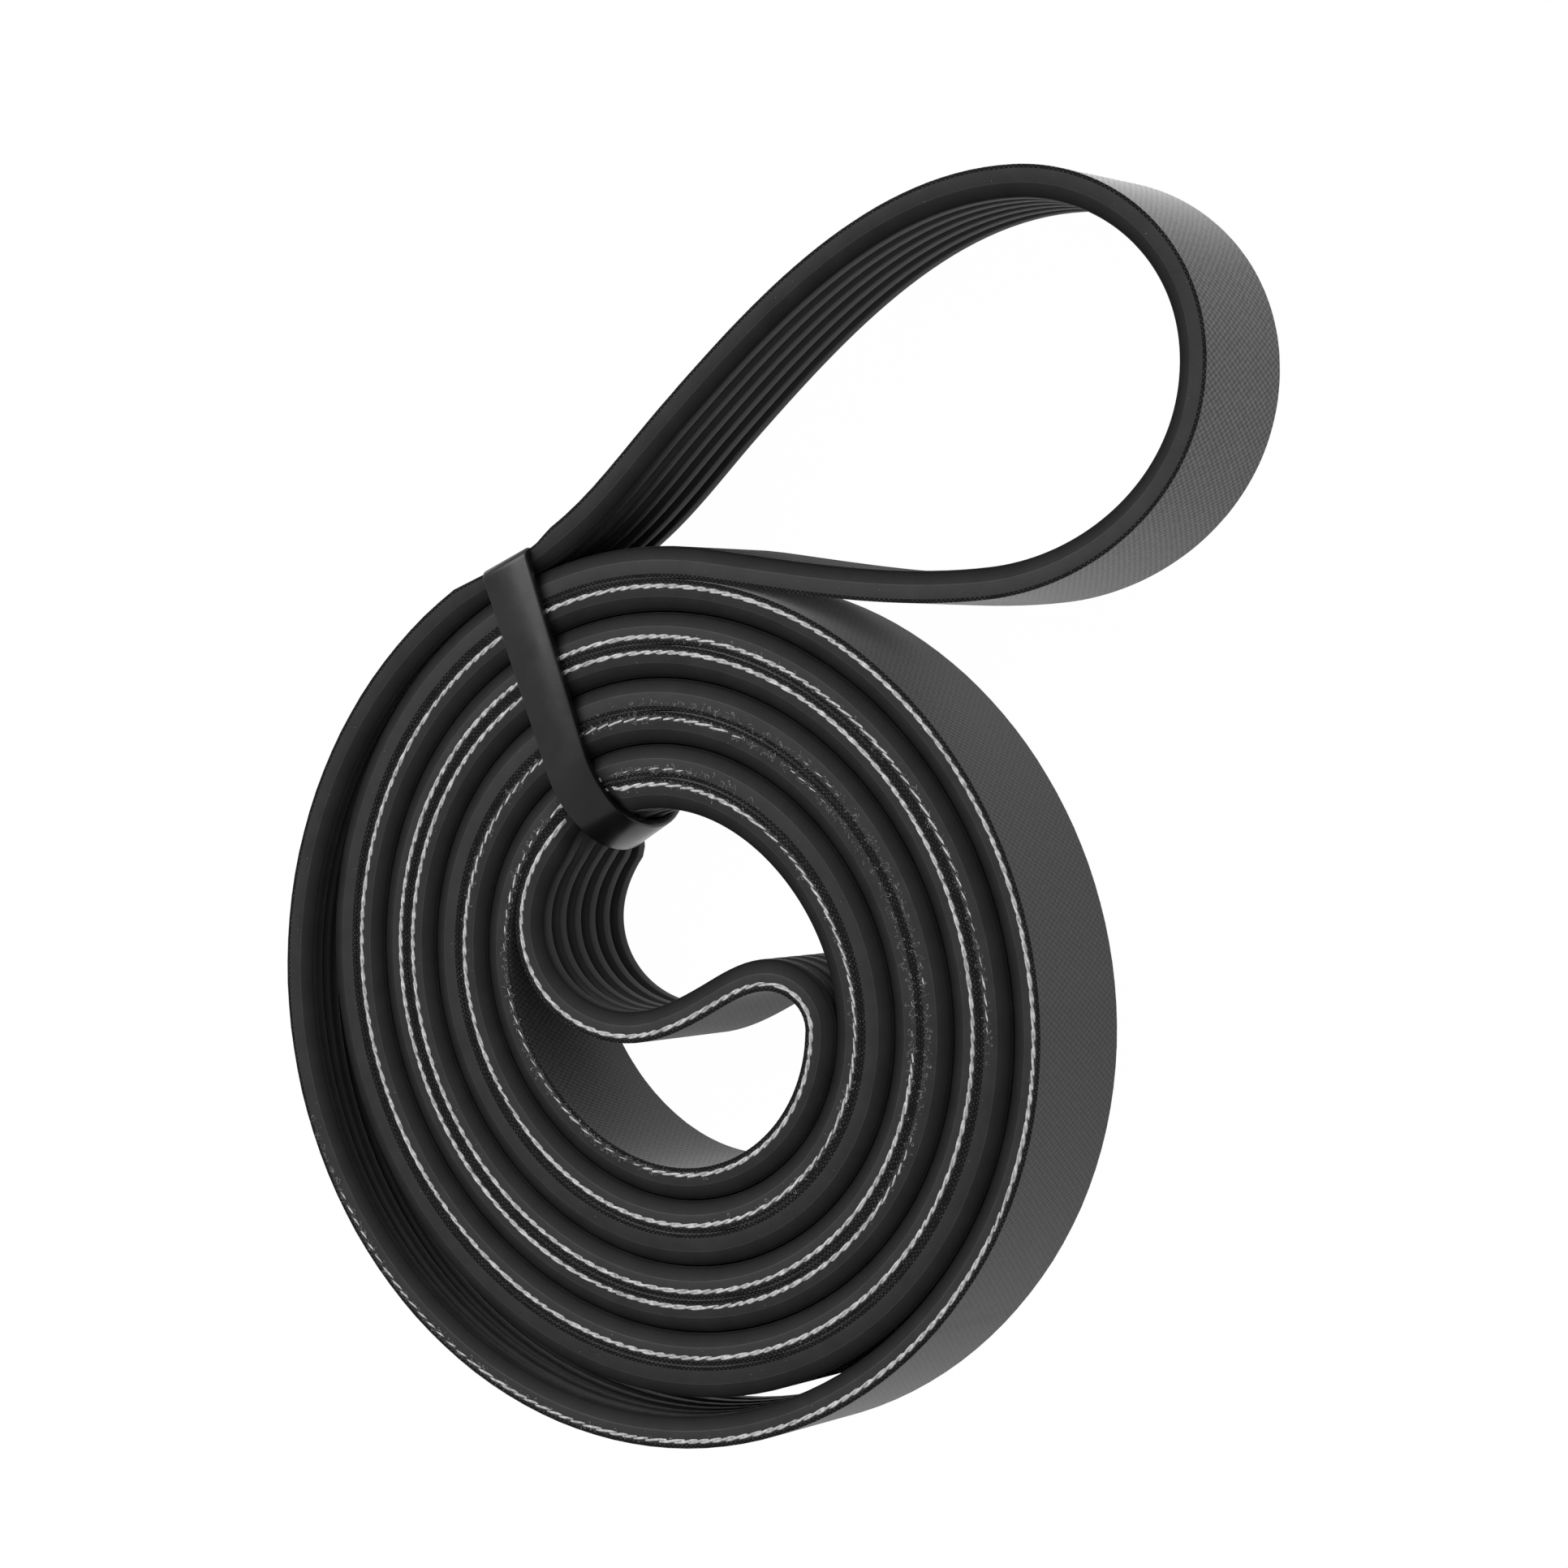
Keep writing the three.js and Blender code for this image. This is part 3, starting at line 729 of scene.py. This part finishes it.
class BandFit:
    """Where the tie band lies: out along one direction of the coil, a little to the side of its middle."""

    def __init__(self, points):
        self.along = polar(1, BAND_ANGLE)
        self.across = polar(1, BAND_ANGLE + 90)
        self.half = (BAND_EYE_WIDTH + BAND_END_WIDTH) / 4
        crossings = self.crossings(points)
        self.eye_slope, self.low = self.end(crossings, min)
        self.outer_slope, self.high = self.end(crossings, max)
        self.left = self.low - BAND_CLEARANCE - BAND_THICKNESS
        self.right = self.high - BAND_END_BITE
        self.bottom = -BAND_CLEARANCE - BAND_THICKNESS
        self.top = BELT_WIDTH + CORD_BULGE + BAND_CLEARANCE + BAND_THICKNESS

    def crossings(self, points):
        """Where the belt's two faces pass under the band: how far to its side, and how far out."""
        found = []
        for depth in (0, BELT_THICKNESS):
            edges = [p + side * (depth - CORD_DEPTH) for p, side in zip(points, rib_sides(points))]
            for start, end in zip(edges, edges[1:] + edges[:1]):
                low, high = self.side(start), self.side(end)
                if max(low, high) < -self.half or min(low, high) > self.half or low == high:
                    continue
                for side in (max(-self.half, min(self.half, low)), max(-self.half, min(self.half, high))):
                    found.append((side, start.lerp(end, (side - low) / (high - low)).dot(self.along)))
        furthest = COIL_RADIUS + BELT_THICKNESS
        return [(side, reach) for side, reach in found if INNER_RADIUS / 2 < reach < furthest]

    def side(self, point):
        return point.dot(self.across) - BAND_SIDE_OFFSET

    def end(self, crossings, furthest):
        """The line along the strands at one end: its slope, and its reach at the band's middle."""
        low, high = [furthest(reach for side, reach in crossings if side == edge)
                     for edge in (-self.half, self.half)]
        slope = (high - low) / (2 * self.half)
        return slope, furthest(reach - slope * side for side, reach in crossings)

    def share(self, reach):
        return (reach - self.low) / (self.high - self.low)

    def slope(self, reach):
        return self.eye_slope + (self.outer_slope - self.eye_slope) * self.share(reach)

    def widening(self, reach):
        width = BAND_EYE_WIDTH + (BAND_END_WIDTH - BAND_EYE_WIDTH) * self.share(reach)
        return width / (2 * self.half)

    def place_of(self, spot):
        """Reach, side and height in mm of a place in the part's frame, without the slant of the ends."""
        flat = Vector((spot.x - shift_x, spot.y - shift_y)) / MM
        reach, side = flat.dot(self.along), self.side(flat)
        return reach - self.slope(reach) * side, side, (spot.z - belt_base) / MM

    def spot_at(self, reach, side, height):
        reach += self.slope(reach) * side
        return place(self.along * reach + self.across * (side + BAND_SIDE_OFFSET), height)

    def line(self):
        """The middle line of the strip: two tight corners at its outer end, and a wide bow in the eye."""
        half = BAND_THICKNESS / 2
        right, bottom, top = self.right - half, self.bottom + half, self.top - half
        corner, lead = BAND_CORNER, BAND_EYE_LEAD - half
        centre = (self.left + BAND_EYE_LEAD, self.top - BAND_EYE_DROP)
        return (quarter((right - corner, bottom + corner), (corner, corner), 270)
                + quarter((right - corner, top - corner), (corner, corner), 0)
                + quarter(centre, (lead, top - centre[1]), 90, BAND_WIDE_STEPS)
                + quarter(centre, (lead, centre[1] - bottom), 180, BAND_WIDE_STEPS))

    def pressed(self, reach, side, height):
        """Where a point of the belt goes under the band's pull, which fades beside the band."""
        beside = abs(side) - self.half * self.widening(reach)
        into_end = reach - (self.high - BELT_THICKNESS)
        if into_end > 0:
            bite_reach = BAND_COIL_BITE_REACH if side > 0 else BAND_LOOP_BITE_REACH
            bite = (BAND_END_BITE + BAND_END_SUNK) * fading(beside, bite_reach)
            return reach - bite * into_end / BELT_THICKNESS, height
        pull = fading(beside, BAND_EYE_BITE_REACH)
        middle = (self.left + BAND_EYE_LEAD, self.top - BAND_EYE_DROP)
        off = Vector((reach - middle[0], height - middle[1]))
        if off.x > 0 or not pull:
            return reach, height
        drop = BAND_EYE_DROP if off.y > 0 else middle[1] - self.bottom
        radii = (BAND_EYE_LEAD - BAND_THICKNESS, drop - BAND_THICKNESS)
        beyond = math.hypot(off.x / radii[0], off.y / radii[1])
        if beyond <= 1:
            return reach, height
        kept = 1 + (1 / beyond - 1) * pull
        return middle[0] + off.x * kept, middle[1] + off.y * kept


def fading(distance, reach):
    """From 1 to 0, softly, as a distance goes from nothing to its reach."""
    left = 1 - max(0, min(1, distance / reach))
    return left * left * (3 - 2 * left)


def quarter(centre, radii, first, steps=8):
    """A quarter of an oval round a centre, from an angle in degrees, turning left."""
    angles = [math.radians(first + 90 * i / steps) for i in range(steps + 1)]
    return [(centre[0] + radii[0] * math.cos(a), centre[1] + radii[1] * math.sin(a)) for a in angles]


def strip_section(width):
    """A flat strip with round edges."""
    half_width, half, r = width / 2, BAND_THICKNESS / 2, BAND_EDGE_ROUND
    corners = [(half_width - r, half - r, 0), (-half_width + r, half - r, 90),
               (-half_width + r, -half + r, 180), (half_width - r, -half + r, 270)]
    line = []
    for x, y, first in corners:
        for turn in (0, 30, 60, 90):
            off = polar(r, first + turn)
            line.append(Vector(((x + off.x) * MM, (y + off.y) * MM, 0)))
    return line


def tie_band(fit, finish):
    """The strip round all the strands, slanted and widened towards each end."""
    line = [place(fit.along * reach + fit.across * BAND_SIDE_OFFSET, height) for reach, height in fit.line()]
    strip = grow("tie_band_strip", sweep_tree("Band sweep", False), {
        "Path": guide("band_path", line), "Section": guide("band_section", strip_section(2 * fit.half)),
        "Finish": finish})
    for corner in strip.data.vertices:
        flat = Vector((corner.co.x - shift_x, corner.co.y - shift_y)) / MM
        reach, side = flat.dot(fit.along), fit.side(flat)
        height = (corner.co.z - belt_base) / MM
        corner.co = fit.spot_at(reach, side * fit.widening(reach), height)
    return strip


def press_under(fit, thing):
    """Squeezes the belt's strands under the band's two ends."""
    widest = BAND_END_WIDTH / 2 + BAND_COIL_BITE_REACH
    for corner in thing.data.vertices:
        reach, side, height = fit.place_of(corner.co)
        if reach < INNER_RADIUS / 2 or abs(side) > widest:
            continue
        new_reach, new_height = fit.pressed(reach, side, height)
        if (new_reach, new_height) != (reach, height):
            corner.co = fit.spot_at(new_reach, side, new_height)


def exposure(stretch, step):
    """How much of the cord the cut shows: 0 hidden in the rubber, 1 lying in the open."""
    if stretch == "outer":
        return between(OUTER_EXPOSURE, step)
    if stretch == "inner":
        return between(INNER_EXPOSURE, step)
    return 1 if stretch == "bend" else 0


def belt_finishes(line):
    """The rubber's and the backing's materials; the backing's needs to know where the free loop starts,
    where its painted light begins.
    """
    spans = [(after[0] - before[0]).length * MM for before, after in zip(line, line[1:] + line[:1])]
    before_loop = sum(span for span, (_, stretch, _) in zip(spans, line) if stretch != "loop")
    return rubber_finish(), backing_finish(before_loop, sum(spans))


def belt_layers(line):
    """The ribbed rubber and its woven backing, each one closed sweep along the belt's path."""
    rubber, backing = belt_finishes(line)
    path = guide("belt_path", [place(p, 0) for p, _, _ in line])
    sweep = sweep_tree("Belt sweep", True)
    body = grow("belt_body", sweep, {
        "Path": path, "Section": section_guide("rubber_section", rubber_section()), "Finish": rubber})
    cloth = grow("belt_backing", sweep, {
        "Path": path, "Section": section_guide("backing_section", backing_section()), "Finish": backing,
        "Ragged edge": 0.00016, "Ragged pitch": 0.0009})
    return body, cloth


def exposed_cords(line, finish):
    """The plies and the fuzz of the cord, on each stretch where the cut shows it."""
    points = [place(p, BELT_WIDTH) for p, _, _ in line]
    weights = [exposure(stretch, step) for _, stretch, step in line]
    ply_tree = cord_tree()
    made = []
    for number, run in enumerate(runs(points, weights)):
        path = guide(f"cord_path_{number}", [p for p, _ in run], False, [w for _, w in run])
        for ply in range(CORD_PLIES):
            made.append(grow(f"cord_{number}_ply_{ply}", ply_tree, {
                "Path": path, "Finish": finish, "Turn at start": 2 * math.pi * ply / CORD_PLIES,
                "Seed": 1.0 + number}))
        made.append(grow(f"cord_fuzz_{number}", fuzz_tree(), {
            "Path": path, "Finish": finish, "Count": FUZZ_PER_POINT * len(run), "Seed": 4 + 5 * number}))
    return made


belt_line = cord_line(FINER)
belt_line = belt_line[1:] + belt_line[:1]
white = cord_finish()
body, cloth = belt_layers(belt_line)
cords = exposed_cords(belt_line, white)

fit = BandFit([p for p, _, _ in belt_line])
for thing in [body, cloth] + cords:
    press_under(fit, thing)
specks = grow("lint_specks", specks_tree(), {"Body": body, "Finish": white})
band = tie_band(fit, band_finish())

for thing in [o for o in bpy.context.scene.objects if o.type == "CURVE"]:
    bpy.data.objects.remove(thing)

for thing, node, slot in [(body, "ribbed_body", "rubber"), (cloth, "backing_fabric", "fabric"),
                          (cords[0], "tension_cord", "cord"), (band, "tie_band", "band_rubber")]:
    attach(thing, "root")
    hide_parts(node)
for thing in cords[1:] + [specks]:
    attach(thing, "root")


def table_top():
    """A pale table that the camera sees as plain white, with the belt's faint shadow."""
    mesh = bpy.data.meshes.new("table_top")
    half = TABLE_HALF_SIZE
    corners = [(-half, -half, 0), (half, -half, 0), (half, half, 0), (-half, half, 0)]
    mesh.from_pydata(corners, [], [(0, 1, 2, 3)])
    table = new_object("table_top", mesh)
    material = bpy.data.materials.new("white_table")
    material.use_nodes = True
    material.node_tree.nodes.clear()
    n = Nodes(material.node_tree)
    seen = n.add("ShaderNodeLightPath").outputs
    diffuse = n.add("ShaderNodeBsdfDiffuse", {"Color": grey(0.5)})
    glow = n.add("ShaderNodeEmission", {"Color": grey(1), "Strength": TABLE_GLOW})
    plain = n.math("MAXIMUM", n.math("MAXIMUM", seen["Is Camera Ray"], seen["Is Glossy Ray"]),
                   seen["Is Transmission Ray"])
    share = n.math("MULTIPLY", plain, TABLE_GLOW_SHARE)
    mixed = n.add("ShaderNodeMixShader", {0: share, 1: diffuse.outputs[0], 2: glow.outputs[0]})
    output = n.add("ShaderNodeOutputMaterial", {"Surface": mixed.outputs[0]})
    output.is_active_output = True
    mesh.materials.append(material)
    table.location.z = -TABLE_DROP


def sky():
    """An even white light from all round."""
    world = bpy.data.worlds.new("even_white")
    bpy.context.scene.world = world
    world.use_nodes = True
    background = world.node_tree.nodes["Background"]
    background.inputs["Color"].default_value = grey(1)
    background.inputs["Strength"].default_value = SKY_STRENGTH


def lamp(name, place_at, aim, size, watts):
    """A square lamp that faces its aim."""
    data = bpy.data.lights.new(name, "AREA")
    data.size = size
    data.energy = watts
    thing = new_object(name, data)
    thing.location = place_at
    thing.rotation_euler = (Vector(aim) - Vector(place_at)).to_track_quat("-Z", "Y").to_euler()


def camera():
    """Looks at the target from the camera's distance, tilted by its roll."""
    azimuth = math.radians(CAMERA_AZIMUTH)
    elevation = math.radians(CAMERA_ELEVATION)
    roll = math.radians(CAMERA_ROLL)
    back = Vector((math.sin(azimuth) * math.cos(elevation), math.sin(elevation),
                   math.cos(azimuth) * math.cos(elevation)))
    right = (-back).cross(Vector((0, 1, 0))).normalized()
    up = right.cross(-back)
    tilted_right = math.cos(roll) * right + math.sin(roll) * up
    tilted_up = -math.sin(roll) * right + math.cos(roll) * up
    data = bpy.data.cameras.new("camera")
    data.sensor_width = 36
    data.lens = CAMERA_LENS
    thing = new_object("camera", data)
    turned = Matrix((tilted_right, tilted_up, back)).transposed().to_4x4()
    turned.translation = Vector(CAMERA_TARGET) + Vector((0, 0, belt_base)) + back * CAMERA_DISTANCE
    thing.matrix_world = turned
    bpy.context.scene.camera = thing


table_top()
sky()
lamp("window", WINDOW_PLACE, (0, 0, 0), WINDOW_SIZE, WINDOW_WATTS)
camera()
bpy.context.scene.view_settings.view_transform = "Standard"
